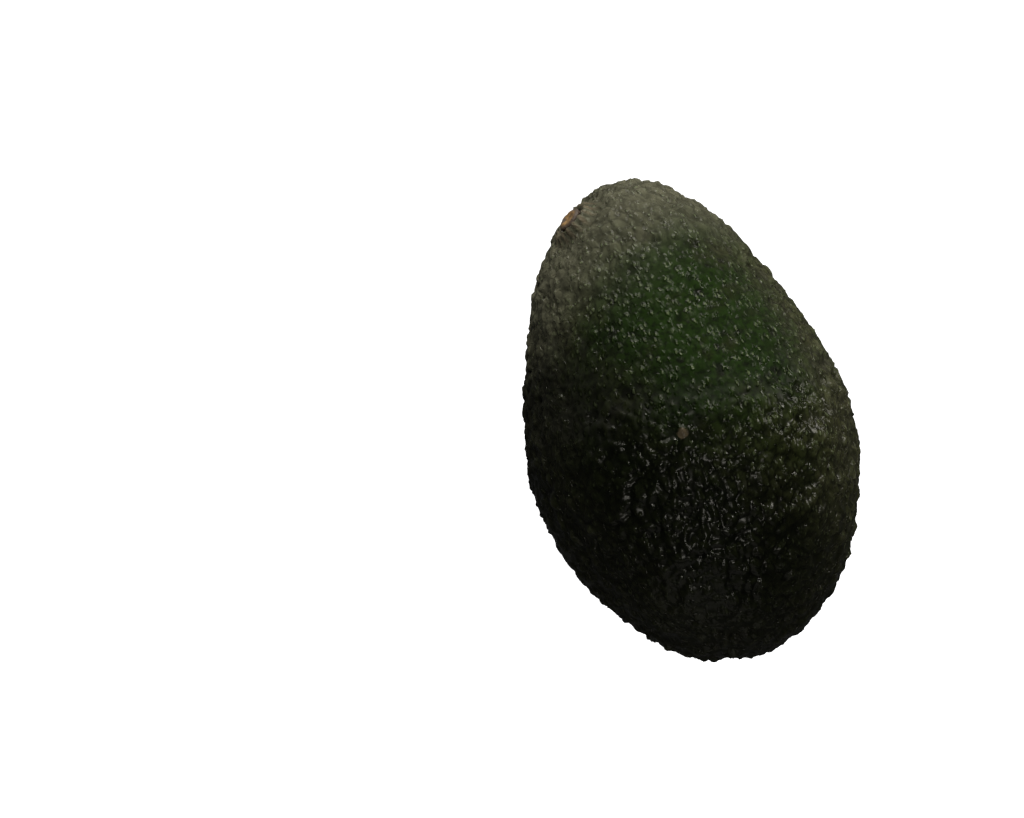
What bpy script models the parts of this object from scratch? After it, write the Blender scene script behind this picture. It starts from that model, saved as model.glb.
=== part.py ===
"""Avocado lying on its side: a pebbled fruit and the dried stalk button in its stem end.

The long axis runs along Y with the stem end at +Y, and Z is up. The fruit rests on a small
flat spot on the plane Z = 0. Lengths are in metres.
"""

import math

import bmesh
import bpy
import numpy as np
from mathutils import Matrix, Vector

MM = 0.001

# Body, through the tallest pebbles: it measures about 100 x 66.5 x 63.5 over the finished skin
LENGTH = 101 * MM
WIDTH = 67.4 * MM
DEPTH = 65.4 * MM
WIDE_END_FULLNESS = 0.02  # how much fuller than an ellipsoid the blossom half is
NECK_PINCH = 0.17  # how much slimmer the stem half is than the blossom half
NECK_FROM = -0.28  # where the pinch begins, along the axis from -1 to 1
NECK_TO = 0.64  # where it is complete
LUMP_HEIGHT = 0.35 * MM  # broad unevenness of the flesh under the skin

# Flat spot that the fruit rests on
FLAT_DEPTH = 0.75 * MM
FLAT_CENTRE_Y = -3.2 * MM  # under the centre of mass
FLAT_SMOOTH_FROM = 6.5 * MM  # no pebbles this near its centre
FLAT_SMOOTH_TO = 13 * MM  # full pebbles from here on

# Pebbled skin
PEBBLE_SIZE = 5.6 * MM  # spacing, larger than on a real fruit so that the mesh can hold them
PEBBLE_HEIGHT = 1.3 * MM
PEBBLE_SLOPE = 0.62  # how far a pebble's flank reaches in from its valley, in spacings
LOWEST_PEBBLE = 0.6  # height of the lowest pebble next to the tallest
SKIN_SEED = 7

# Stem end: the stalk's axis leans off the long axis, towards a side between -X and +Z
STEM_LEAN = math.radians(44)
STEM_SIDE = math.radians(38)
DIMPLE_DEPTH = 2.0 * MM
DIMPLE_FLOOR_RADIUS = 2.1 * MM
DIMPLE_RADIUS = 12.8 * MM
DIMPLE_PEBBLES = 0.35  # how much of the pebbles' height is left beside the button
RIM_RADIUS = 4.3 * MM
RIM_WIDTH = 1.4 * MM
RIM_HEIGHT = 0.8 * MM
RIM_OUTSIDE = 8.5 * MM  # full pebbles from here on

# Socket and the button in it
BUTTON_RADIUS = 3.1 * MM
BUTTON_PROUD = 1.0 * MM  # how far it stands out of its socket
BUTTON_DISH = 0.55 * MM  # depth of the hollow in its face
SOCKET_DEPTH = 3.0 * MM
SOCKET_TAPER = 0.86  # radius at the bottom next to the mouth, of the socket and the button
GAP = 0.3 * MM
CUTTER_ABOVE = 4 * MM
BUTTON_SIDES = 28

# Blossom end
BLOSSOM_LEAN = math.radians(9)
BLOSSOM_RADIUS = 2.6 * MM
BLOSSOM_DEPTH = 0.5 * MM

# Mesh
GEODESIC_CUTS = 22  # each of the 20 triangles of an icosahedron becomes 23 x 23
GEODESIC_TURN = 0.35  # radians, so that no icosahedron corner lies on an end or on the flat spot
FACING_SAMPLES = 40000  # points tried to find where the body faces along a direction

SKIN_COLOUR = (0.016, 0.026, 0.010, 1)
BUTTON_COLOUR = (0.17, 0.075, 0.024, 1)


def smooth_step(value, start, end):
    """0 before start, 1 after end, and an S curve between."""
    share = np.clip((value - start) / (end - start), 0, 1)
    return share * share * (3 - 2 * share)


def girth_factor(along):
    """Half-width relative to the ellipsoid's, for a place from -1 (blossom) to 1 (stem)."""
    return 1 + WIDE_END_FULLNESS - NECK_PINCH * smooth_step(along, NECK_FROM, NECK_TO)


def body_points(directions):
    """Smooth body: each unit direction goes to the ellipsoid, slimmed towards the stem end."""
    girth = girth_factor(directions[:, 1])
    points = np.empty_like(directions)
    points[:, 0] = directions[:, 0] * girth * WIDTH / 2
    points[:, 1] = directions[:, 1] * LENGTH / 2
    points[:, 2] = directions[:, 2] * girth * DEPTH / 2
    return points


def body_normals(directions):
    """Outward normals of the smooth body, from two nearby points on either side."""
    step = 1e-3
    helper = np.where(np.abs(directions[:, 2:3]) < 0.9, [[0.0, 0.0, 1.0]], [[1.0, 0.0, 0.0]])
    first = np.cross(directions, helper)
    first /= np.linalg.norm(first, axis=1, keepdims=True)
    second = np.cross(directions, first)
    sides = []
    for tangent in (first, second):
        ahead = directions + step * tangent
        behind = directions - step * tangent
        ahead /= np.linalg.norm(ahead, axis=1, keepdims=True)
        behind /= np.linalg.norm(behind, axis=1, keepdims=True)
        sides.append(body_points(ahead) - body_points(behind))
    normals = np.cross(sides[0], sides[1])
    normals /= np.linalg.norm(normals, axis=1, keepdims=True)
    outward = np.sign((normals * directions).sum(axis=1, keepdims=True))
    return normals * outward


def lattice_random(cells, channel):
    """One number from 0 to 1 for each whole-number cell, the same on every run."""
    mixed = cells.astype(np.int64) @ np.array([73856093, 19349663, 83492791])
    mixed = (mixed ^ (SKIN_SEED * 2654435761 + channel * 40503)) & 0xFFFFFFFF
    for _ in range(2):
        mixed = ((mixed ^ (mixed >> 16)) * 73244475) & 0xFFFFFFFF
    mixed ^= mixed >> 16
    return mixed / 0xFFFFFFFF


def pebbles(points):
    """Rounded pebbles, 0 in the valleys and up to 1 on the tops.

    Space is cut into cubes with one seed point each. A place belongs to its nearest seed
    point's pebble, and lies in a valley where the second nearest is as near. Each pebble's
    flank is a quarter of a sine wave, and each has a height of its own.
    """
    scaled = points / PEBBLE_SIZE
    home = np.floor(scaled)
    nearest = np.full(len(points), 9.0)
    second = np.full(len(points), 9.0)
    top = np.ones(len(points))
    for shift in np.ndindex(3, 3, 3):
        cell = home + np.array(shift) - 1
        jitter = [lattice_random(cell, channel) for channel in range(3)]
        distance = np.linalg.norm(cell + np.stack(jitter, axis=1) - scaled, axis=1)
        own_top = LOWEST_PEBBLE + (1 - LOWEST_PEBBLE) * lattice_random(cell, 3)
        top = np.where(distance < nearest, own_top, top)
        second = np.minimum(second, np.maximum(nearest, distance))
        nearest = np.minimum(nearest, distance)
    return top * np.sin(np.clip((second - nearest) / PEBBLE_SLOPE, 0, 1) * math.pi / 2)


def lumps(directions):
    """Broad unevenness from -1 to 1: three slow waves over the fruit, out of step."""
    x, y, z = directions.T
    return (np.sin(3.1 * x + 4.3 * z + 0.7) + np.sin(5.2 * y - 2.6 * x) + np.sin(4.4 * z + 3.3 * y)) / 3


def leaning_direction(end, lean, side):
    """Unit vector out of that end (1 stem, -1 blossom), off the long axis by the angle lean.

    It leans towards -X where side is 0 and towards +Z where side is a quarter turn.
    """
    across = math.sin(lean)
    return Vector((-across * math.cos(side), end * math.cos(lean), across * math.sin(side)))


def point_facing(normal):
    """Where the smooth body's surface faces along normal: the point furthest that way."""
    turn = np.arange(FACING_SAMPLES) * math.pi * (3 - math.sqrt(5))
    height = 1 - (2 * np.arange(FACING_SAMPLES) + 1) / FACING_SAMPLES
    ring = np.sqrt(1 - height * height)
    directions = np.stack([ring * np.cos(turn), height, ring * np.sin(turn)], axis=1)
    points = body_points(directions)
    return points[np.argmax(points @ np.array(normal))]


STEM_AXIS = leaning_direction(1, STEM_LEAN, STEM_SIDE)
STEM_POINT = point_facing(STEM_AXIS)
BLOSSOM_POINT = point_facing(leaning_direction(-1, BLOSSOM_LEAN, 0))
FLOOR = body_points(np.array([[0.0, 0.0, -1.0]]))[0, 2] + FLAT_DEPTH
FLAT_CENTRE = np.array([0, FLAT_CENTRE_Y, FLOOR])


def skin_points(directions):
    """The pebbled surface over the smooth body, before its flat spot is moved to Z = 0."""
    base = body_points(directions)
    normals = body_normals(directions)
    from_stem = np.linalg.norm(base - STEM_POINT, axis=1)
    from_blossom = np.linalg.norm(base - BLOSSOM_POINT, axis=1)
    from_flat = np.linalg.norm(base - FLAT_CENTRE, axis=1)

    pebbled = smooth_step(from_flat, FLAT_SMOOTH_FROM, FLAT_SMOOTH_TO)
    pebbled *= DIMPLE_PEBBLES + (1 - DIMPLE_PEBBLES) * smooth_step(from_stem, RIM_RADIUS, RIM_OUTSIDE)
    height = pebbled * PEBBLE_HEIGHT * (pebbles(base) - 1) + LUMP_HEIGHT * lumps(directions)

    height -= DIMPLE_DEPTH * (1 - smooth_step(from_stem, DIMPLE_FLOOR_RADIUS, DIMPLE_RADIUS))
    height += RIM_HEIGHT * np.exp(-(((from_stem - RIM_RADIUS) / RIM_WIDTH) ** 2))
    height -= BLOSSOM_DEPTH * np.exp(-((from_blossom / BLOSSOM_RADIUS) ** 2))

    points = base + normals * height[:, None]
    points[:, 2] = np.maximum(points[:, 2], FLOOR)
    return points


def geodesic_sphere(mesh):
    """Unit icosahedron, each side cut into a grid of triangles of nearly equal size."""
    work = bmesh.new()
    bmesh.ops.create_icosphere(work, subdivisions=1, radius=1)
    turn = Matrix.Rotation(GEODESIC_TURN, 3, Vector((1, 2, 3)))
    bmesh.ops.rotate(work, verts=work.verts, matrix=turn)
    bmesh.ops.subdivide_edges(work, edges=work.edges, cuts=GEODESIC_CUTS, use_grid_fill=True)
    bmesh.ops.triangulate(work, faces=work.faces)
    work.to_mesh(mesh)
    work.free()


def get_points(mesh):
    """All the mesh's points as rows."""
    points = np.empty(len(mesh.vertices) * 3)
    mesh.vertices.foreach_get("co", points)
    return points.reshape(-1, 3)


def new_material(name, colour, roughness):
    """A plain Principled material."""
    material = bpy.data.materials.new(name)
    material.use_nodes = True
    shader = material.node_tree.nodes["Principled BSDF"]
    shader.inputs["Base Color"].default_value = colour
    shader.inputs["Roughness"].default_value = roughness
    shader.inputs["Metallic"].default_value = 0
    material.diffuse_color = colour
    return material


def new_collection(name):
    """A collection in the scene."""
    made = bpy.data.collections.new(name)
    bpy.context.scene.collection.children.link(made)
    return made


def make_fruit(collection):
    """The whole pebbled fruit, closed and solid.

    Its mesh is in the smooth body's place, and its location centres its box on Z and sets its
    flat spot on Z = 0.
    """
    mesh = bpy.data.meshes.new("fruit")
    geodesic_sphere(mesh)
    directions = get_points(mesh)
    directions /= np.linalg.norm(directions, axis=1, keepdims=True)
    points = skin_points(directions)
    mesh.vertices.foreach_set("co", points.ravel())
    mesh.materials.append(new_material("skin", SKIN_COLOUR, 0.42))
    mesh.shade_smooth()
    fruit = bpy.data.objects.new("fruit", mesh)
    collection.objects.link(fruit)
    middle = (points.min(axis=0) + points.max(axis=0)) / 2
    fruit.location = (-middle[0], -middle[1], -FLOOR)
    return fruit


def turned(name, profile, sides, collection):
    """A solid of revolution about Z: a profile of (radius, height) points with a Screw."""
    mesh = bpy.data.meshes.new(name)
    rows = [(radius, 0, height) for radius, height in profile]
    mesh.from_pydata(rows, [(i, i + 1) for i in range(len(rows) - 1)], [])
    made = bpy.data.objects.new(name, mesh)
    collection.objects.link(made)
    screw = made.modifiers.new("turn", "SCREW")
    screw.steps = sides
    screw.render_steps = sides
    screw.use_merge_vertices = True
    screw.merge_threshold = 0.01 * MM
    return made


def stand_on_stem(item, fruit):
    """Turns the item's Z onto the stalk's axis and sets its origin at the socket's mouth."""
    item.parent = fruit
    item.location = Vector(STEM_POINT) - STEM_AXIS * (DIMPLE_DEPTH - 0.5 * RIM_HEIGHT)
    item.rotation_euler = STEM_AXIS.to_track_quat("Z", "Y").to_euler()


def make_socket_cutter(collection, fruit):
    """Round tapered plug that cuts the button's socket out of the fruit."""
    mouth = BUTTON_RADIUS + GAP
    profile = (
        (0, CUTTER_ABOVE),
        (mouth + GAP, CUTTER_ABOVE),
        (mouth, 0),
        (SOCKET_TAPER * mouth, -SOCKET_DEPTH),
        (0, -SOCKET_DEPTH),
    )
    cutter = turned("socket_cutter", profile, BUTTON_SIDES, collection)
    stand_on_stem(cutter, fruit)
    cutter.hide_render = True
    cutter.display_type = "WIRE"
    return cutter


def make_button(collection, fruit):
    """Dried stalk stub: a plug with a dished face that fills the socket and stands proud."""
    foot = GAP - SOCKET_DEPTH
    profile = (
        (0, BUTTON_PROUD - BUTTON_DISH),
        (0.35 * BUTTON_RADIUS, BUTTON_PROUD - 0.75 * BUTTON_DISH),
        (0.62 * BUTTON_RADIUS, BUTTON_PROUD),
        (0.86 * BUTTON_RADIUS, BUTTON_PROUD - 0.25 * BUTTON_DISH),
        (BUTTON_RADIUS, BUTTON_PROUD - BUTTON_DISH),
        (BUTTON_RADIUS, 0),
        (SOCKET_TAPER * BUTTON_RADIUS, foot),
        (0, foot),
    )
    button = turned("stem_button", profile, BUTTON_SIDES, collection)
    stand_on_stem(button, fruit)
    button.data.materials.append(new_material("stalk", BUTTON_COLOUR, 0.8))
    return button


def cut(target, cutter):
    """Takes the cutter's shape out of the target."""
    boolean = target.modifiers.new("socket", "BOOLEAN")
    boolean.operation = "DIFFERENCE"
    boolean.solver = "EXACT"
    boolean.object = cutter


def main():
    for item in list(bpy.data.objects):
        bpy.data.objects.remove(item, do_unlink=True)
    avocado = new_collection("avocado")
    cutters = new_collection("cutters")
    fruit = make_fruit(avocado)
    make_button(avocado, fruit)
    cut(fruit, make_socket_cutter(cutters, fruit))


main()
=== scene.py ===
"""The looks of an avocado lying on its side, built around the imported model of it.

The fruit's long axis runs along Y with the stem end at +Y, and Z is up. Lengths are in metres.
"""

import logging
import math
from dataclasses import dataclass, field
from enum import Enum

import bpy
import numpy as np
from bpy.types import Collection, Material, Node, NodeSocket, NodeTree, Object
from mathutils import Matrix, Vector


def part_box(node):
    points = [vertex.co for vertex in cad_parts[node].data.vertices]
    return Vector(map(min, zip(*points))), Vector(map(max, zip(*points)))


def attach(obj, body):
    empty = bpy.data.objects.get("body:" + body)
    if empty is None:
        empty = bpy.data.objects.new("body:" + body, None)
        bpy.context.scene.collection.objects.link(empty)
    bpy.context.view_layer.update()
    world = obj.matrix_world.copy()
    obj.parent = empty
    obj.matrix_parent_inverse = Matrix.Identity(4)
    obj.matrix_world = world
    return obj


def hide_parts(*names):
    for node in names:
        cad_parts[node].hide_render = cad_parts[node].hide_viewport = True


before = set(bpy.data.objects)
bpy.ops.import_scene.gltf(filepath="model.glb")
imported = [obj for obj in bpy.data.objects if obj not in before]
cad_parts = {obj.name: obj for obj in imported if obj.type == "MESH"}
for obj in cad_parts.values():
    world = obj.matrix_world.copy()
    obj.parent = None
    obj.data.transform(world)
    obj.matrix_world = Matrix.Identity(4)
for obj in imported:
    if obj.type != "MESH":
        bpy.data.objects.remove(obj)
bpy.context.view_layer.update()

Array = np.ndarray
Pair = tuple[float, float]
Triple = tuple[float, float, float]
Colour = tuple[float, float, float, float]

MM = 0.001
PLACE_FACTORS = np.array([73856093, 19349663, 83492791])
SEED_FACTOR = 2654435761
CHANNEL_FACTOR = 40503
MIX_FACTOR = 73244475
LOW_BITS = 0xFFFFFFFF
WARP_CHANNELS = (5, 6, 7)
OWN_CHANNEL = 3
FAR = 9.0
log = logging.getLogger("avocado")


# Numbers and noise


def smooth_step(value: Array, start: float, end: float) -> Array:
    """An S curve from 0 at start to 1 at end: with t the clipped share of the way, t * t * (3 - 2 t)."""
    share = np.clip((value - start) / (end - start), 0, 1)
    return share * share * (3 - 2 * share)


def bell(distance: Array, width: float) -> Array:
    """exp(-(distance / width) squared): 1 in the middle, and 0.37 one width from it."""
    return np.exp(-((distance / width) ** 2))


def unit(rows: Array) -> Array:
    """Each row scaled to length 1."""
    return rows / np.linalg.norm(rows, axis=1, keepdims=True)


@dataclass(frozen=True)
class Lattice:
    """Random numbers on a lattice of cubes, the same on every run."""

    size: float
    seed: int

    def draw(self, cells: Array, channel: int) -> Array:
        """Mixes each cell's whole-number place, the seed and the channel into one number.

        Args:
            cells: Cell places, one a row.
            channel: Which of a cell's numbers is wanted.

        Returns:
            A number from 0 to 1 for each cell.
        """
        mixed = cells.astype(np.int64) @ PLACE_FACTORS
        mixed = (mixed ^ (self.seed * SEED_FACTOR + channel * CHANNEL_FACTOR)) & LOW_BITS
        for _ in range(2):
            mixed = ((mixed ^ (mixed >> 16)) * MIX_FACTOR) & LOW_BITS
        mixed ^= mixed >> 16
        return mixed / LOW_BITS

    def cloud(self, points: Array, channel: int = 0) -> Array:
        """Smooth noise: the eight corner numbers of each point's cube, blended by S curves.

        Args:
            points: Where the noise is read, one point a row.
            channel: Which noise, of several that don't depend on each other.

        Returns:
            The noise from -1 to 1.
        """
        scaled = points / self.size
        home = np.floor(scaled)
        share = smooth_step(scaled - home, 0, 1)
        total = np.zeros(len(points))
        for corner in np.ndindex(2, 2, 2):
            offset = np.array(corner)
            weight = np.prod(np.where(offset == 1, share, 1 - share), axis=1)
            total += weight * self.draw(home + offset, channel)
        return 2 * total - 1

    def warp(self, points: Array, reach: float) -> Array:
        """The points moved by three smooth noises, in each direction by the reach at most."""
        drift = [self.cloud(points, channel) for channel in WARP_CHANNELS]
        return points + reach * np.stack(drift, axis=1)

    def seeds(self, points: Array) -> tuple[Array, Array, Array]:
        """Distances to seed points, one of which lies at a random place in each cube.

        Args:
            points: Where the distances are read, one point a row.

        Returns:
            The nearest distance and the second nearest, in cube sizes, and the nearest seed's
            own random number from 0 to 1.
        """
        scaled = points / self.size
        home = np.floor(scaled)
        nearest = np.full(len(points), FAR)
        second = np.full(len(points), FAR)
        own = np.zeros(len(points))
        for shift in np.ndindex(3, 3, 3):
            cell = home + np.array(shift) - 1
            place = np.stack([self.draw(cell, channel) for channel in range(3)], axis=1)
            distance = np.linalg.norm(cell + place - scaled, axis=1)
            own = np.where(distance < nearest, self.draw(cell, OWN_CHANNEL), own)
            second = np.minimum(second, np.maximum(nearest, distance))
            nearest = np.minimum(nearest, distance)
        return nearest, second, own


# Meshes


def new_object(name: str, points: Array, faces: list[list[int]]) -> Object:
    """A smooth-shaded mesh object at the origin, unturned, whose vertices hold its place.

    Args:
        name: The object's and the mesh's name.
        points: Vertices, one a row.
        faces: Each face's vertex numbers, turning counter-clockwise seen from outside.

    Returns:
        The object.
    """
    mesh = bpy.data.meshes.new(name)
    mesh.from_pydata(points, [], faces)
    mesh.update()
    mesh.shade_smooth()
    made = bpy.data.objects.new(name, mesh)
    bpy.context.scene.collection.objects.link(made)
    return made


def store(piece: Object, name: str, values: Array) -> None:
    """Keeps one number for each vertex as an attribute that materials read."""
    layer = piece.data.attributes.new(name, "FLOAT", "POINT")
    layer.data.foreach_set("value", values.astype(np.float32))


# Node trees


@dataclass
class Graph:
    """Short ways to lay nodes in one tree."""

    tree: NodeTree

    def node(self, kind: str, inputs: dict | None = None, **settings: object) -> Node:
        """Adds a node, sets its properties and feeds its inputs.

        Args:
            kind: The node's type name.
            inputs: Sockets or values, by the name or number of the input that they feed.
            **settings: Properties by name.

        Returns:
            The node.
        """
        made = self.tree.nodes.new(kind)
        for name, value in settings.items():
            setattr(made, name, value)
        for key, source in (inputs or {}).items():
            self.feed(made.inputs[key], source)
        return made

    def feed(self, socket: NodeSocket, source: object) -> None:
        """Links a socket to feed the input, or sets a constant on it.

        Args:
            socket: The input.
            source: An output socket, a number or a colour.
        """
        if isinstance(source, NodeSocket):
            self.tree.links.new(source, socket)
        else:
            socket.default_value = source

    def math(self, operation: str, *values: object) -> NodeSocket:
        """The Math node's operation on sockets or numbers."""
        return self.node("ShaderNodeMath", dict(enumerate(values)), operation=operation).outputs[0]

    def vector(self, operation: str, *values: object) -> NodeSocket:
        """The Vector Math node's operation on sockets or vectors."""
        made = self.node("ShaderNodeVectorMath", dict(enumerate(values)), operation=operation)
        return made.outputs[0]

    def distance(self, place: object, point: Triple) -> NodeSocket:
        """How far the place is from a fixed point."""
        made = self.node("ShaderNodeVectorMath", {0: place, 1: point}, operation="DISTANCE")
        return made.outputs["Value"]

    def blend(self, share: object, first: object, second: object) -> NodeSocket:
        """The first colour where the share is 0, the second where it is 1, a mix between."""
        made = self.node("ShaderNodeMix", {0: share, 6: first, 7: second}, data_type="RGBA")
        return made.outputs[2]

    def paint(self, under: object, over: object, mask: object, share: object) -> NodeSocket:
        """The second colour laid on the first, as far as mask * share says."""
        return self.blend(self.math("MULTIPLY", mask, share), under, over)

    def attribute(self, name: str) -> NodeSocket:
        """The number that the mesh keeps under that name."""
        return self.node("ShaderNodeAttribute", attribute_name=name).outputs["Fac"]

    def ramp(self, value: object, start: float, end: float) -> NodeSocket:
        """A smooth step from 0 at start to 1 at end.

        Args:
            value: The socket that is read.
            start: Where the step begins.
            end: Where it ends, which may be below start.

        Returns:
            The step's socket.
        """
        rising = start < end
        inputs = {"Value": value, "From Min": min(start, end), "From Max": max(start, end)}
        inputs |= {"To Min": float(not rising), "To Max": float(rising)}
        made = self.node("ShaderNodeMapRange", inputs, interpolation_type="SMOOTHSTEP")
        return made.outputs["Result"]

    def noise(self, place: object, size: float, detail: float) -> NodeSocket:
        """Smooth noise around 0.5, with lumps of that size and detail finer layers."""
        made = self.node("ShaderNodeTexNoise", {"Vector": place, "Scale": 1 / size, "Detail": detail})
        return made.outputs["Fac"]

    def jitter(self, place: object, size: float, reach: float) -> NodeSocket:
        """Moves places by smooth noise, so that patterns read there look grown.

        Args:
            place: The position's socket.
            size: The size of the noise's lumps.
            reach: How far it moves them at most, both ways together.

        Returns:
            place + reach * (noise colour - 0.5).
        """
        noise = self.node("ShaderNodeTexNoise", {"Vector": place, "Scale": 1 / size})
        centred = self.vector("SUBTRACT", noise.outputs["Color"], (0.5, 0.5, 0.5))
        return self.vector("MULTIPLY_ADD", centred, (reach, reach, reach), place)

    def cells(self, place: object, size: float) -> tuple[NodeSocket, NodeSocket]:
        """Distance to the nearest of scattered points, and that point's own number.

        Args:
            place: The position's socket.
            size: The points' spacing.

        Returns:
            The distance's socket, in spacings, and the number's socket, from 0 to 1.
        """
        made = self.node("ShaderNodeTexVoronoi", {"Vector": place, "Scale": 1 / size})
        parts = self.node("ShaderNodeSeparateColor", {0: made.outputs["Color"]})
        return made.outputs["Distance"], parts.outputs[0]

    def blotches(self, place: object, size: float, start: float, end: float) -> NodeSocket:
        """The mask of the shared blotches group, faint where its noise is start, full at end."""
        inputs = {"Place": place, "Scale": 1 / size, "Start": start, "End": end}
        return self.node("ShaderNodeGroup", inputs, node_tree=blotches_group()).outputs["Mask"]

    def bump(self, shader: Node, height: object, reach: float, strength: float = 1.0) -> None:
        """Makes the shader's surface look raised, by the reach where the height is 1."""
        made = self.node("ShaderNodeBump", {"Strength": strength, "Distance": reach, "Height": height})
        self.feed(shader.inputs["Normal"], made.outputs["Normal"])


def blotches_group() -> NodeTree:
    """The shader group for uneven colour, built once: a smooth step of noise from Start to End.

    Returns:
        The group, with inputs Place, Scale, Start and End and the output Mask.
    """
    name = "blotches"
    if name in bpy.data.node_groups:
        return bpy.data.node_groups[name]
    tree = bpy.data.node_groups.new(name, "ShaderNodeTree")
    tree.interface.new_socket("Place", in_out="INPUT", socket_type="NodeSocketVector")
    for number in ("Scale", "Start", "End"):
        tree.interface.new_socket(number, in_out="INPUT", socket_type="NodeSocketFloat")
    tree.interface.new_socket("Mask", in_out="OUTPUT", socket_type="NodeSocketFloat")
    graph = Graph(tree)
    given = graph.node("NodeGroupInput").outputs
    inputs = {"Vector": given["Place"], "Scale": given["Scale"], "Detail": 4.0}
    noise = graph.node("ShaderNodeTexNoise", inputs)
    inputs = {"Value": noise.outputs["Fac"], "From Min": given["Start"], "From Max": given["End"]}
    step = graph.node("ShaderNodeMapRange", inputs, interpolation_type="SMOOTHSTEP")
    graph.node("NodeGroupOutput", {"Mask": step.outputs["Result"]})
    return tree


def new_material(name: str) -> tuple[Material, Graph, Node]:
    """A material with nothing set yet.

    Args:
        name: Its name.

    Returns:
        The material, its node tree and the shader in it.
    """
    material = bpy.data.materials.new(name)
    material.use_nodes = True
    return material, Graph(material.node_tree), material.node_tree.nodes["Principled BSDF"]


def colour(red: float, green: float, blue: float) -> Colour:
    """A colour given from 0 to 255 on a screen, as the light values that shaders take.

    Args:
        red: Red from 0 to 255.
        green: Green from 0 to 255.
        blue: Blue from 0 to 255.

    Returns:
        Red, green, blue and 1, each below 0.04045 divided by 12.92 and else a 2.4 power.
    """
    shares = [value / 255 for value in (red, green, blue)]
    light = [s / 12.92 if s <= 0.04045 else ((s + 0.055) / 1.055) ** 2.4 for s in shares]
    return (*light, 1.0)


# The fruit


class End(Enum):
    """The two ends of the fruit, with their side of the long axis."""

    STEM = 1
    BLOSSOM = -1


@dataclass
class Body:
    """The smooth form under the skin, the same as the solid's."""

    length: float = 101 * MM
    width: float = 67.4 * MM
    depth: float = 65.4 * MM
    wide_end_fullness: float = 0.02
    neck_pinch: float = 0.17
    neck_from: float = -0.28
    neck_to: float = 0.64
    lump_height: float = 0.35 * MM
    middle: Triple = (0.09 * MM, -0.08 * MM, 31.37 * MM)
    spiral_count: int = 40000

    def points(self, directions: Array) -> Array:
        """An ellipsoid, with its girth times 1 + fullness - pinch * S curve along the axis.

        Args:
            directions: Unit vectors from the middle, one a row.

        Returns:
            The points on the body, in the frame.
        """
        along = directions[:, 1]
        pinch = self.neck_pinch * smooth_step(along, self.neck_from, self.neck_to)
        girth = 1 + self.wide_end_fullness - pinch
        half_length = np.full(len(along), self.length / 2)
        half = np.stack([girth * self.width / 2, half_length, girth * self.depth / 2], axis=1)
        return directions * half + np.array(self.middle)

    def normals(self, directions: Array) -> Array:
        """The cross product of two small steps along the surface.

        Args:
            directions: Unit vectors from the middle, one a row.

        Returns:
            Unit normals that point out of the body.
        """
        step = 1e-3
        steep = np.abs(directions[:, 2:3]) < 0.9
        helper = np.where(steep, [[0.0, 0.0, 1.0]], [[1.0, 0.0, 0.0]])
        first = unit(np.cross(directions, helper))
        second = np.cross(directions, first)
        sides = []
        for tangent in (first, second):
            ahead = self.points(unit(directions + step * tangent))
            behind = self.points(unit(directions - step * tangent))
            sides.append(ahead - behind)
        normals = unit(np.cross(sides[0], sides[1]))
        return normals * np.sign((normals * directions).sum(axis=1, keepdims=True))

    def lumps(self, directions: Array) -> Array:
        """Broad unevenness: a third of the sum of three slow sine waves.

        Args:
            directions: Unit vectors from the middle, one a row.

        Returns:
            Its height above the body, in metres.
        """
        x, y, z = directions.T
        waves = np.sin(3.1 * x + 4.3 * z + 0.7) + np.sin(5.2 * y - 2.6 * x) + np.sin(4.4 * z + 3.3 * y)
        return self.lump_height * waves / 3

    def facing(self, normal: Array) -> Array:
        """Where the body faces along the normal: the point furthest that way, of a spiral's.

        Args:
            normal: A unit vector.

        Returns:
            The point.
        """
        number = np.arange(self.spiral_count)
        turn = number * math.pi * (3 - math.sqrt(5))
        height = 1 - (2 * number + 1) / self.spiral_count
        ring = np.sqrt(1 - height * height)
        points = self.points(np.stack([ring * np.cos(turn), height, ring * np.sin(turn)], axis=1))
        return points[np.argmax(points @ normal)]


def leaning(end: End, lean: float, side: float) -> Array:
    """A unit vector out of one end: (-sin lean cos side, end * cos lean, sin lean sin side).

    The lean is the angle off the long axis, and the side is 0 towards -X, a quarter turn to +Z.
    """
    across = math.sin(lean)
    return np.array([-across * math.cos(side), end.value * math.cos(lean), across * math.sin(side)])


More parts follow.
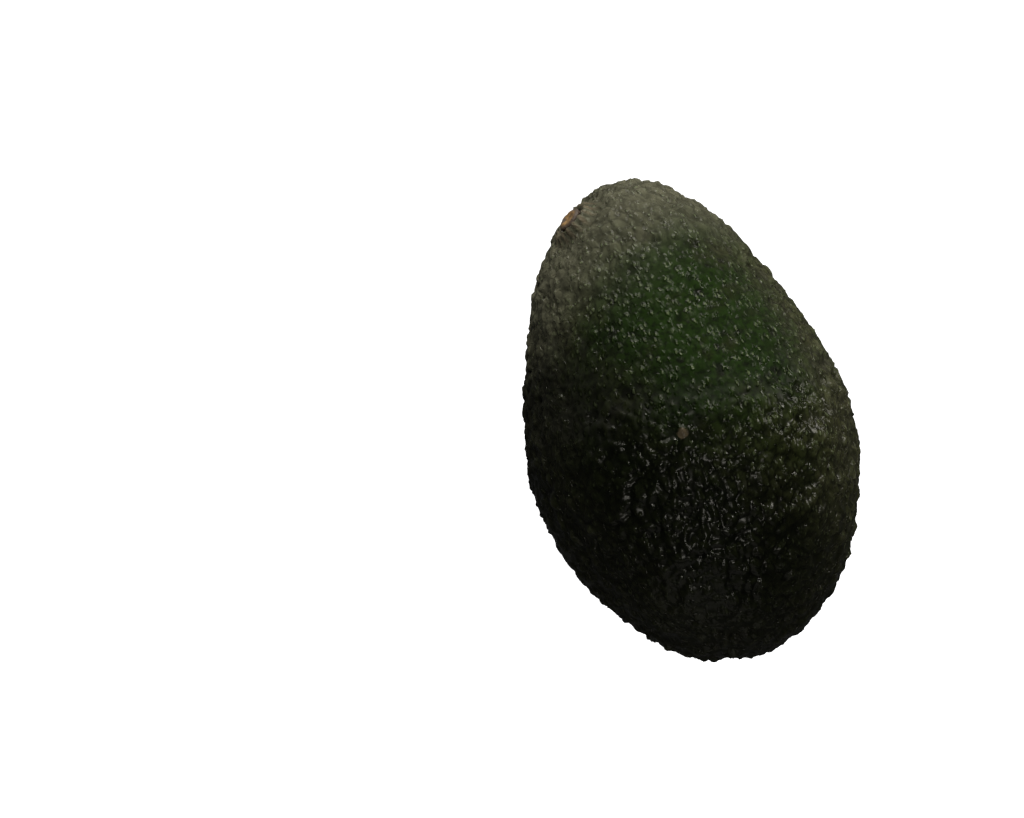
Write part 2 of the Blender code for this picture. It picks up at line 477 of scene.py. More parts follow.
@dataclass
class StemEnd:
    """Where the stalk was: a dimple with a raised rim and a socket in the middle."""

    body: Body
    lean: float = math.radians(44)
    side: float = math.radians(38)
    dimple_depth: float = 2.0 * MM
    dimple_floor_radius: float = 2.1 * MM
    dimple_radius: float = 12.8 * MM
    rim_radius: float = 4.3 * MM
    rim_width: float = 1.4 * MM
    rim_height: float = 1.3 * MM
    socket_floor_radius: float = 2.6 * MM
    socket_mouth_radius: float = 3.5 * MM
    socket_depth: float = 1.6 * MM
    fold_count: int = 17
    fold_radius: float = 4.6 * MM
    fold_width: float = 1.8 * MM
    fold_height: float = 0.22 * MM
    fold_wander: float = 2.5
    fold_wander_size: float = 3 * MM
    fold_seed: int = 31
    lip_radius: float = 4.1 * MM
    lip_height: float = 1.0 * MM
    lip_step: Pair = (-1 * MM, 3 * MM)
    collar_share: float = 0.6
    collar_step: Pair = (-0.3, 0.9)
    axis: Array = field(init=False)
    place: Array = field(init=False)

    def __post_init__(self) -> None:
        """Works out the stalk's axis and where it leaves the smooth body."""
        self.axis = leaning(End.STEM, self.lean, self.side)
        self.place = self.body.facing(self.axis)

    def mouth(self) -> Array:
        """The middle of the socket's mouth, half the rim's height above the dimple's floor."""
        return self.place - self.axis * (self.dimple_depth - 0.5 * self.rim_height)

    def distance(self, points: Array) -> Array:
        """How far each point is from where the stalk leaves the body."""
        return np.linalg.norm(points - self.place, axis=1)

    def height(self, away: Array) -> Array:
        """The dimple's S curve, plus the rim's bell, less the socket's steep S curve.

        Args:
            away: Distance from the stalk.

        Returns:
            Height above the body, in metres.
        """
        dimple = 1 - smooth_step(away, self.dimple_floor_radius, self.dimple_radius)
        rim = bell(away - self.rim_radius, self.rim_width)
        socket = 1 - smooth_step(away, self.socket_floor_radius, self.socket_mouth_radius)
        return self.rim_height * rim - self.dimple_depth * dimple - self.socket_depth * socket

    def folds(self, points: Array, away: Array) -> tuple[Array, Array]:
        """Folds that run out from the stalk, and a lip on its upper side.

        The folds are a sine wave of the angle round the stalk, shifted by noise, times a ring.

        Args:
            points: Points on the body, one a row.
            away: Their distance from the stalk.

        Returns:
            The height in metres, and how much of the pale colour the folds' crests take.
        """
        first = unit(np.cross(self.axis, [[0.0, 0.0, 1.0]]))[0]
        second = np.cross(self.axis, first)
        around = np.arctan2((points - self.place) @ second, (points - self.place) @ first)
        ring = bell(away - self.fold_radius, self.fold_width)
        wander = self.fold_wander * Lattice(self.fold_wander_size, self.fold_seed).cloud(points)
        wave = np.sin(self.fold_count * around + wander)
        above = smooth_step(points[:, 2] - self.place[2], *self.lip_step)
        lip = self.lip_height * bell(away - self.lip_radius, self.rim_width) * above
        collar = self.collar_share * ring * smooth_step(wave, *self.collar_step)
        return self.fold_height * ring * wave + lip, collar


def pads(lattice: Lattice, points: Array, lowest: float, shoulder: float) -> Array:
    """Rounded pads round a lattice's seed points: a quarter sine wave of the way in from the border.

    Args:
        lattice: Whose seed points the pads lie round.
        points: Where they are read, one point a row.
        lowest: The height of the lowest pad. The highest one's is 1.
        shoulder: How far in from its border a pad is at full height, in cube sizes.

    Returns:
        The height at each point.
    """
    near, second, own = lattice.seeds(points)
    inward = np.clip((second - near) / shoulder, 0, 1)
    return (lowest + (1 - lowest) * own) * np.sin(inward * math.pi / 2)


@dataclass
class Zones:
    """Where the skin is green, smooth, steep, darkened by ripening and painted shade, matt, or pale with
    a dusty bloom and painted sheen.
    """

    green_middle: Triple = (7 * MM, 16 * MM, 60 * MM)
    green_radius: float = 27 * MM
    calm_radius: float = 20 * MM
    calm_flank_loss: float = 0.8
    flank_to: float = 0.5
    flank_from: float = 0.88
    ripe_and_shaded_slant: float = 0.9
    ripe_and_shaded_slant_at_left: float = 0.5
    ripe_and_shaded_step: Pair = (13 * MM, -28 * MM)
    ripe_and_shaded_wander: float = 5 * MM
    ripe_and_shaded_wander_size: float = 12 * MM
    edge_wander: float = 3 * MM
    matt_step: Pair = (-7 * MM, 6 * MM)
    # Where the dusty bloom and the painted sheen lie: towards the stem end, more on the -X side.
    bloom_and_sheen_slant: float = -0.25
    bloom_and_sheen_step: Pair = (19 * MM, 37 * MM)

    def shares(
        self, base: Array, normals: Array, swell: Array, seed: int
    ) -> dict[str, Array]:
        """S curves of the place along and across the fruit, and bells round the green's middle.

        Args:
            base: Points on the body, one a row.
            normals: The body's unit normals there.
            swell: Slow noise from -1 to 1, which moves the borders.
            seed: The seed of the own noise of the dark zone of ripening and painted shade.

        Returns:
            Each zone's share at each point, from 0 to 1, by the zone's name.
        """
        x, y, _ = base.T
        flank = 1 - smooth_step(np.abs(normals[:, 2]), self.flank_to, self.flank_from)
        from_green = np.linalg.norm(base - np.array(self.green_middle), axis=1)
        # Part ripening colour, part painted shade: darker towards the blossom end and towards -X,
        # changing faster on the -X side.
        slant = y + self.ripe_and_shaded_slant * x + self.ripe_and_shaded_slant_at_left * np.minimum(x, 0)
        wander = self.ripe_and_shaded_wander * Lattice(self.ripe_and_shaded_wander_size, seed).cloud(base)
        edge = self.edge_wander * swell
        return {
            "flank": flank,
            "green": bell(from_green, self.green_radius),
            "calm": bell(from_green, self.calm_radius) * (1 - self.calm_flank_loss * flank),
            "ripe_and_shaded": smooth_step(slant + wander, *self.ripe_and_shaded_step),
            "matt": smooth_step(y + edge, *self.matt_step),
            "bloom_and_sheen": smooth_step(y + self.bloom_and_sheen_slant * x + edge, *self.bloom_and_sheen_step),
        }


@dataclass
class Skin:
    """The pebbled rind over the whole fruit, one closed surface."""

    body: Body
    stem_end: StemEnd
    zones: Zones = field(default_factory=Zones)
    around: int = 110
    along: int = 170
    bend_size: float = 2.4 * MM
    bend_reach: float = 0.8 * MM
    fine_bend_size: float = 1.7 * MM
    fine_bend_reach: float = 0.6 * MM
    pebble_size: float = 2.2 * MM
    pebble_height: float = 0.8 * MM
    pebble_stretch: Triple = (1, 0.7, 1)
    pebble_lowest: float = 0.35
    pebble_shoulder: float = 0.65
    pebble_level: float = 0.6
    long_size: float = 1.9 * MM
    long_stretch: Triple = (1, 0.55, 0.65)
    long_lowest: float = 0.3
    long_shoulder: float = 0.7
    long_level_rise: float = 0.08
    rough_least: float = 0.65
    rough_size: float = 7 * MM
    rough_step: Pair = (-0.3, 0.4)
    ridge_size: float = 1.9 * MM
    ridge_height: float = 0.3 * MM
    ridge_stretch: Triple = (1, 0.8, 1)
    ridge_width: float = 0.3
    ridge_level: float = 0.4
    pit_size: float = 3.4 * MM
    pit_depth: float = 0.5 * MM
    pit_step: Pair = (0.05, 0.6)
    lump_size: float = 2.6 * MM
    lump_height: float = 0.4 * MM
    swell_size: float = 7.5 * MM
    swell_height: float = 0.34 * MM
    swell_level: float = 0.3
    furrow_size: float = 12 * MM
    furrow_depth: float = 0.34 * MM
    furrow_width: float = 0.08
    furrow_bend_size: float = 7 * MM
    furrow_bend_reach: float = 4 * MM
    furrow_break_size: float = 9 * MM
    furrow_break_step: Pair = (-0.1, 0.4)
    calm_relief_loss: float = 0.75
    calm_swell_loss: float = 0.5
    flat_centre_y: float = -3.2 * MM
    flat_step: Pair = (6.5 * MM, 13 * MM)
    flat_relief: float = 0.12
    stem_relief: float = 0.3
    stem_relief_radius: float = 8.5 * MM
    blossom_lean: float = math.radians(9)
    blossom_radius: float = 2.6 * MM
    blossom_depth: float = 0.5 * MM
    seed: int = 11

    def patches(self) -> tuple[Array, Array]:
        """Six square patches of a cube, blown up to a sphere and welded along their edges.

        A patch is (1, tan u, tan v) with u and v from -45 to 45 degrees, turned to its side of
        the cube and scaled to length 1. The four side patches have more rows along Y.

        Returns:
            Unit directions, one a row, and four of their numbers for each face.
        """
        directions = []
        faces = []
        count = 0
        for normal_axis in range(3):
            for sign in (-1, 1):
                u_axis, v_axis = (normal_axis + 1) % 3, (normal_axis + 2) % 3
                cuts = [self.along if axis == 1 else self.around for axis in (u_axis, v_axis)]
                u, v = (np.tan(np.linspace(-math.pi / 4, math.pi / 4, n + 1)) for n in cuts)
                grid = np.empty((cuts[0] + 1, cuts[1] + 1, 3))
                grid[..., normal_axis] = sign
                grid[..., u_axis] = u[:, None]
                grid[..., v_axis] = v[None, :]
                number = count + np.arange(grid[..., 0].size).reshape(grid.shape[:2])
                corners = [number[:-1, :-1], number[1:, :-1], number[1:, 1:], number[:-1, 1:]]
                quads = np.stack(corners, axis=-1).reshape(-1, 4)
                faces.append(quads if sign == 1 else quads[:, ::-1])
                directions.append(unit(grid.reshape(-1, 3)))
                count += number.size
        joined = np.concatenate(directions)
        rounded = np.round(joined, 7)
        _, first, number = np.unique(rounded, axis=0, return_index=True, return_inverse=True)
        return joined[first], number.reshape(-1)[np.concatenate(faces)]

    def pebbles(self, base: Array, flank: Array) -> Array:
        """Pads of skin, which turn into smaller drawn-out ones on the flanks.

        Args:
            base: Points on the body, one a row.
            flank: How far each point belongs to a flank.

        Returns:
            The pads' height, from 0 to 1.
        """
        bent = Lattice(self.fine_bend_size, self.seed + 2).warp(base, self.fine_bend_reach)
        round_cells = Lattice(self.pebble_size, self.seed + 3)
        long_cells = Lattice(self.long_size, self.seed + 13)
        pebble = pads(round_cells, bent * self.pebble_stretch, self.pebble_lowest, self.pebble_shoulder)
        long = pads(long_cells, bent * self.long_stretch, self.long_lowest, self.long_shoulder)
        return pebble + flank * (long - pebble)

    def strength(self, base: Array, away: Array) -> Array:
        """How much of the relief stays: less over the flat spot and less round the stalk.

        Args:
            base: Points on the body, one a row.
            away: Their distance from the stalk.

        Returns:
            The share, from 0 to 1.
        """
        flat = np.array([self.body.middle[0], self.flat_centre_y + self.body.middle[1], 0])
        off_flat = smooth_step(np.linalg.norm(base - flat, axis=1), *self.flat_step)
        off_stem = smooth_step(away, self.stem_end.rim_radius, self.stem_relief_radius)
        at_flat = self.flat_relief + (1 - self.flat_relief) * off_flat
        return at_flat * (self.stem_relief + (1 - self.stem_relief) * off_stem)

    def build(self) -> Object:
        """Raises the body's points along its normals by the sum of all the reliefs.

        Returns:
            The skin, with the attributes that its finish reads.
        """
        directions, faces = self.patches()
        base = self.body.points(directions)
        normals = self.body.normals(directions)
        away = self.stem_end.distance(base)
        swell = Lattice(self.swell_size, self.seed + 4).cloud(base)
        zones = self.zones.shares(base, normals, swell, self.seed + 12)
        calm, flank = zones["calm"], zones["flank"]

        bent = Lattice(self.bend_size, self.seed).warp(base, self.bend_reach)
        near, _, own = Lattice(self.pit_size, self.seed + 1).seeds(bent)
        pit = own * (1 - smooth_step(near, *self.pit_step))
        wander = Lattice(self.ridge_size, self.seed + 9).cloud(bent * self.ridge_stretch)
        ridge = 1 - smooth_step(np.abs(wander), 0, self.ridge_width)
        pebble = self.pebbles(base, flank)
        lump = Lattice(self.lump_size, self.seed + 8).cloud(base)
        bent = Lattice(self.furrow_bend_size, self.seed + 5).warp(base, self.furrow_bend_reach)
        near, second, _ = Lattice(self.furrow_size, self.seed + 6).seeds(bent)
        breaks = Lattice(self.furrow_break_size, self.seed + 7).cloud(base)
        furrow = bell(second - near, self.furrow_width) * smooth_step(breaks, *self.furrow_break_step)
        patchy = smooth_step(Lattice(self.rough_size, self.seed + 10).cloud(base), *self.rough_step)
        rough = self.rough_least + (1 - self.rough_least) * patchy

        level = self.pebble_level + self.long_level_rise * flank
        relief = rough * self.pebble_height * (pebble - level)
        relief += self.ridge_height * (ridge - self.ridge_level)
        relief += self.lump_height * lump - self.pit_depth * pit
        relief *= 1 - self.calm_relief_loss * calm
        relief += self.swell_height * (1 - self.calm_swell_loss * calm) * (swell - self.swell_level)
        relief -= self.furrow_depth * furrow
        height = self.strength(base, away) * relief
        height += self.body.lumps(directions) + self.stem_end.height(away)
        blossom = self.body.facing(leaning(End.BLOSSOM, self.blossom_lean, 0))
        from_blossom = np.linalg.norm(base - blossom, axis=1)
        height -= self.blossom_depth * bell(from_blossom, self.blossom_radius)
        folds, collar = self.stem_end.folds(base, away)
        height += folds

        points = base + normals * height[:, None]
        points[:, 2] = np.maximum(points[:, 2], 0)
        piece = new_object("skin", points, faces.tolist())
        # The pit, pebble and furrow marks also place painted shade in the rind's colour, and pebble its
        # painted sheen.
        marks = {"pit": pit, "pebble": pebble, "collar": collar, "furrow": furrow * (1 - calm)}
        for name, values in (marks | zones).items():
            store(piece, name, values)
        return piece


@dataclass(frozen=True)
class SkinFinish:
    """Waxy rind: dark green with olive and brown, almost black where ripening and painted shade darken
    it, with painted shade in the hollows and painted sheen and glints on the stem end, the flanks and
    the grains.
    """

    green: Colour = colour(21, 37, 7)
    olive: Colour = colour(44, 47, 27)
    # Almost black: part ripening colour, part painted shade.
    ripe_and_shaded: Colour = colour(8, 11, 5)
    # Almost black, for the painted shade in the hollows and in small spots.
    painted_shade: Colour = colour(4, 5, 3)
    brown: Colour = colour(38, 30, 22)
    # Pale grey of painted sheen, partly a dusty bloom.
    dust_and_sheen: Colour = colour(83, 83, 71)
    # Paler grains: partly lenticels, partly painted glints.
    speck_and_glint: Colour = colour(92, 102, 76)
    # Pale grey-olive for the painted sheen on the flanks' crests and wrinkles.
    crest_sheen: Colour = colour(92, 92, 75)
    scar: Colour = colour(66, 59, 47)
    collar: Colour = colour(92, 82, 68)
    green_reach: float = 0.7
    green_step: Pair = (0.5, 1.0)
    drift_size: float = 16 * MM
    mottle_size: float = 6 * MM
    mottle_step: Pair = (0.5, 0.75)
    mottle_share: float = 0.35
    ripe_and_shaded_share: float = 0.9
    pit_step: Pair = (0.1, 0.7)
    valley_step: Pair = (0.45, 0.0)
    valley_calm_loss: float = 0.8
    shaded_hollow_share: float = 0.8
    shaded_hollow_loss_in_sheen_zone: float = 0.25
    shade_size: float = 1.0 * MM
    shade_step: Pair = (0.5, 0.64)
    shade_share: float = 0.5
    shade_loss_in_sheen_zone: float = 0.4
    grain_size: float = 1.25 * MM
    grain_bend_size: float = 1.0 * MM
    grain_bend: float = 1.0 * MM
    grain_stretch: Triple = (1.35, 0.75, 1.0)
    chosen_step: Pair = (0.0, 0.6)
    speck_and_glint_step: Pair = (0.32, 0.12)
    speck_and_glint_share: float = 0.5
    speck_and_glint_loss_in_dark_zone: float = 0.43
    scar_place: Triple = (-4.1 * MM, -6.6 * MM, 19.0 * MM)
    scar_squash: Triple = (1.0, 1.0, 0.3)
    scar_step: Pair = (1.2 * MM, 0.75 * MM)
    scar_bend_size: float = 0.8 * MM
    scar_bend: float = 0.9 * MM
    streak_size: float = 1.5 * MM
    streak_bend_size: float = 3 * MM
    streak_bend: float = 2.5 * MM
    streak_stretch: Triple = (0.4, 0.4, 1.2)
    streak_step: Pair = (0.06, 0.01)
    streak_sheen_share: float = 0.6
    crest_sheen_step: Pair = (0.4, 1.0)
    crest_sheen_least: float = 0.2
    crest_sheen_range: float = 0.5
    crest_sheen_share: float = 0.5
    crest_sheen_loss_in_dark_zone: float = 0.36
    tip_step: Pair = (0.62, 0.42)
    tip_roughness: float = 0.16
    glossy_roughness: float = 0.27
    matt_rise: float = 0.72
    dome_step: Pair = (0.65, 0.05)
    dome_least: float = 0.3
    dome_loss_in_dark_zone: float = 0.55
    streak_height: float = 0.6
    fine_size: float = 0.5 * MM
    fine_height: float = 0.06
    bump_height: float = 0.21 * MM
    specular: float = 0.09

    def fading(self, graph: Graph, full: float, loss: float, zone: str) -> NodeSocket:
        """full - loss * the zone's share."""
        return graph.math("MULTIPLY_ADD", graph.attribute(zone), -loss, full)

    def ground(self, graph: Graph, place: object) -> NodeSocket:
        """Olive, green and brown zones, a dark zone of ripening and painted shade, a dusty bloom with
        painted sheen, and painted shade in the hollows and in small spots.

        Args:
            graph: The material's tree.
            place: The position's socket.

        Returns:
            The colour's socket.
        """
        drift = graph.noise(place, self.drift_size, detail=4)
        greenish = graph.math("MULTIPLY_ADD", graph.attribute("green"), self.green_reach, drift)
        ground = graph.blend(graph.ramp(greenish, *self.green_step), self.olive, self.green)
        mottle = graph.blotches(place, self.mottle_size, *self.mottle_step)
        ground = graph.paint(ground, self.brown, mottle, self.mottle_share)
        # The dark zone: part ripening colour, part painted shade.
        ground = graph.paint(ground, self.ripe_and_shaded, graph.attribute("ripe_and_shaded"), self.ripe_and_shaded_share)
        # Painted sheen, partly a dusty bloom: a pale grey towards the stem end, except on the green.
        not_green = self.fading(graph, 1.0, 1.0, "green")
        ground = graph.paint(ground, self.dust_and_sheen, graph.attribute("bloom_and_sheen"), not_green)

        # Painted shade: the pits, the valleys between pebbles on the rougher skin and the furrows
        # darkened towards almost black, less in the sheen zone.
        rough_zone = self.fading(graph, 1.0, self.valley_calm_loss, "calm")
        valley = graph.ramp(graph.attribute("pebble"), *self.valley_step)
        shaded_hollow = graph.ramp(graph.attribute("pit"), *self.pit_step)
        shaded_hollow = graph.math("MAXIMUM", shaded_hollow, graph.math("MULTIPLY", valley, rough_zone))
        shaded_hollow = graph.math("MAXIMUM", shaded_hollow, graph.attribute("furrow"))
        depth = self.fading(graph, self.shaded_hollow_share, self.shaded_hollow_loss_in_sheen_zone, "bloom_and_sheen")
        ground = graph.paint(ground, self.painted_shade, shaded_hollow, depth)
        # Painted shade in small random spots, less in the sheen zone.
        shade = graph.ramp(graph.noise(place, self.shade_size, detail=2), *self.shade_step)
        share = self.fading(graph, self.shade_share, self.shade_loss_in_sheen_zone, "bloom_and_sheen")
        return graph.paint(ground, self.painted_shade, shade, share)

    def marked(
        self, graph: Graph, place: object, surface: object, speck_and_glint: object, streak: object
    ) -> NodeSocket:
        """Adds the pale specks that are partly painted glints, the corky spot, painted sheen on the
        flanks' crests and the stalk's collar.

        Args:
            graph: The material's tree.
            place: The position's socket.
            surface: The colour so far.
            speck_and_glint: Where the grains' pale specks, partly painted glints, are.
            streak: Where the level wrinkles are.

        Returns:
            The colour's socket.
        """
        # Painted glints, partly lenticels: pale specks at the grains' middles, fewer in the dark zone.
        share = self.fading(graph, self.speck_and_glint_share, self.speck_and_glint_loss_in_dark_zone, "ripe_and_shaded")
        surface = graph.paint(surface, self.speck_and_glint, speck_and_glint, share)
        bent = graph.jitter(place, self.scar_bend_size, self.scar_bend)
        from_scar = graph.distance(graph.vector("MULTIPLY", bent, self.scar_squash), self.scar_place)
        surface = graph.blend(graph.ramp(from_scar, *self.scar_step), surface, self.scar)
        # Painted sheen: paler pebble crests and wrinkles on the flanks, some on every flank, less in the
        # dark zone.
        crest_sheen = graph.ramp(graph.attribute("pebble"), *self.crest_sheen_step)
        crest_sheen = graph.math("MAXIMUM", crest_sheen, graph.math("MULTIPLY", streak, self.streak_sheen_share))
        crest_sheen = graph.math("MULTIPLY_ADD", crest_sheen, self.crest_sheen_range, self.crest_sheen_least)
        crest_sheen = graph.math("MULTIPLY", crest_sheen, graph.attribute("flank"))
        pale = self.fading(graph, self.crest_sheen_share, self.crest_sheen_loss_in_dark_zone, "ripe_and_shaded")
        surface = graph.paint(surface, self.crest_sheen, crest_sheen, pale)
        return graph.blend(graph.attribute("collar"), surface, self.collar)

    def material(self) -> Material:
        """Builds the node tree: matt or glossy ground with small smooth glossy grains on it.

        Returns:
            The material.
        """
        material, graph, shader = new_material("rind")
        place = graph.node("ShaderNodeTexCoord").outputs["Object"]

        bent = graph.jitter(place, self.grain_bend_size, self.grain_bend)
        near, own = graph.cells(graph.vector("MULTIPLY", bent, self.grain_stretch), self.grain_size)
        chosen = graph.ramp(own, *self.chosen_step)
        bent = graph.jitter(place, self.streak_bend_size, self.streak_bend)
        drawn_out = graph.vector("MULTIPLY", bent, self.streak_stretch)
        level = graph.noise(drawn_out, self.streak_size, detail=1)
        line = graph.math("ABSOLUTE", graph.math("SUBTRACT", level, 0.5))
        streak = graph.ramp(line, *self.streak_step)

        surface = self.ground(graph, place)
        # Where the painted glints go: the middles of chosen grains.
        speck_and_glint = graph.math("MULTIPLY", graph.ramp(near, *self.speck_and_glint_step), chosen)
        graph.feed(shader.inputs["Base Color"], self.marked(graph, place, surface, speck_and_glint, streak))

        tip = graph.math("MULTIPLY", graph.ramp(near, *self.tip_step), chosen)
        between = graph.attribute("matt")
        between = graph.math("MULTIPLY_ADD", between, self.matt_rise, self.glossy_roughness)
        between = graph.math("MULTIPLY", between, graph.math("SUBTRACT", 1.0, tip))
        roughness = graph.math("MULTIPLY_ADD", tip, self.tip_roughness, between)
        graph.feed(shader.inputs["Roughness"], roughness)

        share = graph.math("MULTIPLY_ADD", chosen, 1 - self.dome_least, self.dome_least)
        dome = graph.math("MULTIPLY", graph.ramp(near, *self.dome_step), share)
        outside_dark_zone = self.fading(graph, 1.0, self.dome_loss_in_dark_zone, "ripe_and_shaded")
        wrinkle = graph.math("MULTIPLY", streak, graph.attribute("flank"))
        height = graph.math("MULTIPLY", dome, outside_dark_zone)
        height = graph.math("MULTIPLY_ADD", wrinkle, self.streak_height, height)
        fine = graph.noise(place, self.fine_size, detail=2)
        graph.bump(shader, graph.math("MULTIPLY_ADD", fine, self.fine_height, height), self.bump_height)
        shader.inputs["Specular IOR Level"].default_value = self.specular
        return material


@dataclass
class Button:
    """The dried stub of the stalk in its socket."""

    stem_end: StemEnd
    radius: float = 2.7 * MM
    proud: float = 1.3 * MM
    foot: float = 2.0 * MM
    corner: float = 0.68
    taper: float = 0.12
    dish_depth: float = 0.45 * MM
    dish_step: Pair = (0.2, 0.7)
    shoulder_drop: float = 0.45 * MM
    shoulder_power: int = 6
    face_from: float = -0.2 * MM
    rough_height: float = 0.16 * MM
    rough_size: float = 1.1 * MM
    fine_size: float = 0.5 * MM
    fine_share: float = 0.5
    middle_drop: float = 0.5 * MM
    off_face: float = 9.0
    rings: int = 40
    spokes: int = 120
    seed: int = 23

    def build(self) -> Object:
        """A turned profile, given as radius and height over one parameter, made uneven.

        Returns:
            The button. Its attribute "face" is the share of the radius, plus off_face off the face.
        """
        share = np.linspace(0, 1, self.rings + 1)[1:]
        turn = np.linspace(0, 2 * math.pi, self.spokes, endpoint=False)
        face = np.minimum(share / self.corner, 1)
        skirt = np.maximum((share - self.corner) / (1 - self.corner), 0)
        radius = self.radius * (face - self.taper * skirt**2)
        dish = self.dish_depth * (1 - smooth_step(face, *self.dish_step))
        shoulder = self.shoulder_drop * face**self.shoulder_power
        height = self.proud - dish - shoulder - self.foot * skirt
        radii, turns = np.meshgrid(radius, turn, indexing="ij")
        heights = np.repeat(height[:, None], self.spokes, axis=1)
        flat = np.stack([radii * np.cos(turns), radii * np.sin(turns), heights], axis=-1).reshape(-1, 3)
        uneven = Lattice(self.rough_size, self.seed).cloud(flat)
        uneven += self.fine_share * Lattice(self.fine_size, self.seed + 1).cloud(flat)
        on_face = (flat[:, 2] > self.face_from).astype(float)
        flat[:, 2] += self.rough_height * uneven * on_face
        middle = np.array([[0, 0, self.proud - self.middle_drop], [0, 0, height[-1]]])
        points = np.concatenate([flat, middle])

        number = np.arange(len(flat)).reshape(self.rings, self.spokes)
        after = np.roll(number, -1, axis=1)
        sides = np.stack([number[:-1], number[1:], after[1:], after[:-1]], axis=-1).reshape(-1, 4)
        tip = np.full(self.spokes, len(flat))
        top = np.stack([tip, number[0], after[0]], axis=-1)
        bottom = np.stack([tip + 1, after[-1], number[-1]], axis=-1)
        turned = Vector(self.stem_end.axis).to_track_quat("Z", "Y").to_matrix()
        placed = points @ np.array(turned).T + self.stem_end.mouth()
        piece = new_object("button", placed, sides.tolist() + top.tolist() + bottom.tolist())
        outward = radii.reshape(-1) / self.radius + self.off_face * (1 - on_face)
        store(piece, "face", np.append(outward, [0, self.off_face]))
        return piece


@dataclass(frozen=True)
class StalkFinish:
    """Dry corky wood, amber brown, darker in its cracks."""

    amber: Colour = colour(132, 102, 60)
    bark: Colour = colour(62, 50, 40)
    inner_step: Pair = (0.9, 0.5)
    patch_size: float = 1.6 * MM
    patch_step: Pair = (0.36, 0.56)
    bark_roughness: float = 0.65
    amber_roughness_rise: float = 0.2
    grain_size: float = 0.4 * MM
    grain_height: float = 0.2 * MM
    grain_strength: float = 0.8

    def material(self) -> Material:
        """Builds the node tree.

        Returns:
            The material.
        """
        material, graph, shader = new_material("dry stalk")
        place = graph.node("ShaderNodeTexCoord").outputs["Object"]
        inner = graph.ramp(graph.attribute("face"), *self.inner_step)
        patches = graph.blotches(place, self.patch_size, *self.patch_step)
        amber = graph.math("MULTIPLY", inner, patches)
        graph.feed(shader.inputs["Base Color"], graph.blend(amber, self.bark, self.amber))
        roughness = graph.math("MULTIPLY_ADD", amber, self.amber_roughness_rise, self.bark_roughness)
        graph.feed(shader.inputs["Roughness"], roughness)
        grain = graph.noise(place, self.grain_size, detail=3)
        graph.bump(shader, grain, self.grain_height, self.grain_strength)
        return material


# The studio


@dataclass(frozen=True)
class Lamp:
    """A square soft box that faces the fruit.

    Its turn is in degrees clockwise from the top of the picture, its rise in degrees above the
    floor and its power in watts.
    """

    name: str
    turn: float
    rise: float
    away: float
    size: float
    power: float
    tint: Triple = (1.0, 0.96, 0.86)


FRUIT_LAMPS = (
    Lamp("key", turn=-8, rise=50, away=1.1, size=0.11, power=5.5),
    Lamp("overhead", turn=180, rise=62, away=1.1, size=0.11, power=3.4),
    Lamp("back", turn=-4, rise=10, away=1.3, size=1.1, power=26),
    Lamp("right", turn=60, rise=16, away=1.2, size=0.2, power=8),
    Lamp("front", turn=180, rise=10, away=1.3, size=1.0, power=2.0),
)
FLOOR_LAMP = Lamp("floor light", turn=207, rise=81, away=1.5, size=0.5, power=22, tint=(1, 1, 1))


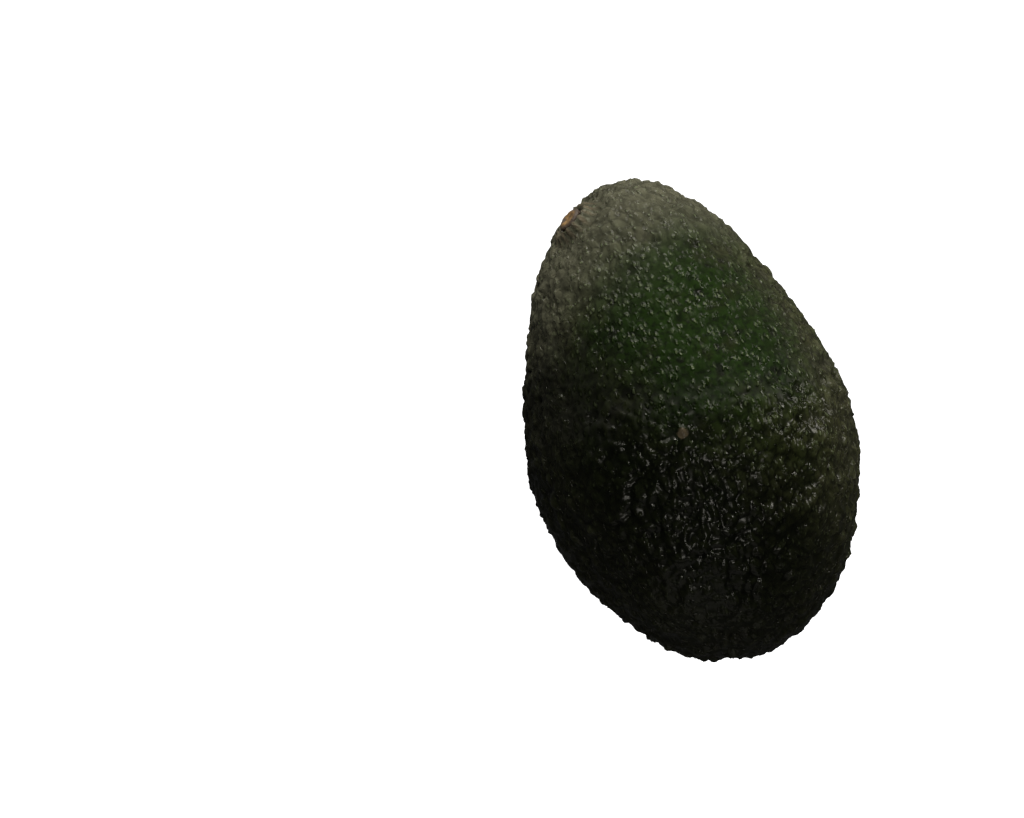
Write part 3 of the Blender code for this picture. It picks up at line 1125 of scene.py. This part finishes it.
@dataclass
class Studio:
    """A pale floor, soft lights and the camera at the photograph's viewing angle."""

    azimuth: float = math.radians(-17)
    elevation: float = math.radians(82)
    lens: float = 85.0
    sensor: float = 36.0
    clip_start: float = 10 * MM
    distance: float = 490 * MM
    aim_left: float = 34.3 * MM
    aim_up: float = 1.6 * MM
    lamp_aim_height: float = 30 * MM
    floor_size: float = 60.0
    floor_grey: Colour = (0.86, 0.86, 0.86, 1)
    floor_roughness: float = 0.8
    floor_specular: float = 0.2
    floor_glow: float = 0.85
    world_strength: float = 0.05
    world_seen_rise: float = 0.8

    def axes(self) -> tuple[Vector, Vector, Vector]:
        """The camera's right, up and forward directions.

        Returns:
            right = (cos a, sin a, 0), forward from azimuth and elevation, up = right x forward.
        """
        a, e = self.azimuth, self.elevation
        forward = Vector((-math.sin(a) * math.cos(e), math.cos(a) * math.cos(e), -math.sin(e)))
        right = Vector((math.cos(a), math.sin(a), 0))
        return right, right.cross(forward), forward

    def camera(self, middle: Vector) -> None:
        """Looks past the fruit's middle, so that it stands in the frame as photographed.

        Args:
            middle: The middle of the fruit's box.
        """
        right, up, forward = self.axes()
        data = bpy.data.cameras.new("camera")
        data.lens = self.lens
        data.sensor_width = self.sensor
        data.clip_start = self.clip_start
        made = bpy.data.objects.new("camera", data)
        bpy.context.scene.collection.objects.link(made)
        target = middle - right * self.aim_left + up * self.aim_up
        made.location = target - forward * self.distance
        made.rotation_euler = forward.to_track_quat("-Z", "Y").to_euler()
        bpy.context.scene.camera = made

    def light(self, lamp: Lamp, receivers: Collection) -> None:
        """Hangs a lamp that shines on some objects only.

        Args:
            lamp: What it is and where it hangs.
            receivers: The objects that it shines on.
        """
        right, up, _ = self.axes()
        top = Vector((up.x, up.y, 0)).normalized()
        angle, lift = math.radians(lamp.turn), math.radians(lamp.rise)
        level = top * math.cos(angle) + right * math.sin(angle)
        direction = level * math.cos(lift) + Vector((0, 0, math.sin(lift)))
        data = bpy.data.lights.new(lamp.name, "AREA")
        data.size = lamp.size
        data.energy = lamp.power
        data.color = lamp.tint
        made = bpy.data.objects.new(lamp.name, data)
        bpy.context.scene.collection.objects.link(made)
        made.location = direction * lamp.away + Vector((0, 0, self.lamp_aim_height))
        made.rotation_euler = (-direction).to_track_quat("-Z", "Y").to_euler()
        made.light_linking.receiver_collection = receivers

    def floor(self) -> Object:
        """A wide plane that glows a little and isn't mirrored in the fruit.

        Returns:
            The floor.
        """
        bpy.ops.mesh.primitive_plane_add(size=self.floor_size)
        floor = bpy.context.object
        floor.name = "floor"
        material, _, shader = new_material("pale floor")
        shader.inputs["Base Color"].default_value = self.floor_grey
        shader.inputs["Roughness"].default_value = self.floor_roughness
        shader.inputs["Specular IOR Level"].default_value = self.floor_specular
        shader.inputs["Emission Color"].default_value = (1, 1, 1, 1)
        shader.inputs["Emission Strength"].default_value = self.floor_glow
        floor.data.materials.append(material)
        floor.visible_diffuse = False
        floor.visible_glossy = False
        return floor

    def world(self) -> None:
        """White surroundings that give little light: strength = low + rise * seen by the camera."""
        world = bpy.data.worlds.new("studio")
        world.use_nodes = True
        graph = Graph(world.node_tree)
        seen = graph.node("ShaderNodeLightPath").outputs["Is Camera Ray"]
        strength = graph.math("MULTIPLY_ADD", seen, self.world_seen_rise, self.world_strength)
        surround = world.node_tree.nodes["Background"]
        surround.inputs["Color"].default_value = (1, 1, 1, 1)
        graph.feed(surround.inputs["Strength"], strength)
        bpy.context.scene.world = world

    def build(self, middle: Vector, lit: Collection) -> None:
        """Makes the floor, the lights, the surroundings and the camera.

        Args:
            middle: The middle of the fruit's box.
            lit: The pieces of the fruit, which its own lamps shine on.
        """
        only_floor = bpy.data.collections.new("lit by the floor light")
        only_floor.objects.link(self.floor())
        for lamp in FRUIT_LAMPS:
            self.light(lamp, lit)
        self.light(FLOOR_LAMP, only_floor)
        self.world()
        bpy.context.scene.view_settings.view_transform = "Standard"
        self.camera(middle)


def main() -> None:
    """Builds the studio, the skin and the stalk's button."""
    logging.basicConfig(level=logging.INFO, format="%(name)s: %(message)s")
    body = Body()
    stem_end = StemEnd(body)
    low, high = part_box("fruit")
    lit = bpy.data.collections.new("lit from above")
    Studio().build((low + high) / 2, lit)

    skin = Skin(body, stem_end).build()
    skin.data.materials.append(SkinFinish().material())
    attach(skin, "root")
    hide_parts("fruit")
    log.info("skin: %d faces", len(skin.data.polygons))

    button = Button(stem_end).build()
    button.data.materials.append(StalkFinish().material())
    for piece in (skin, button):
        lit.objects.link(piece)
    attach(button, "root")
    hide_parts("stem_button")
    log.info("button: %d faces", len(button.data.polygons))


if __name__ == "__main__":
    main()
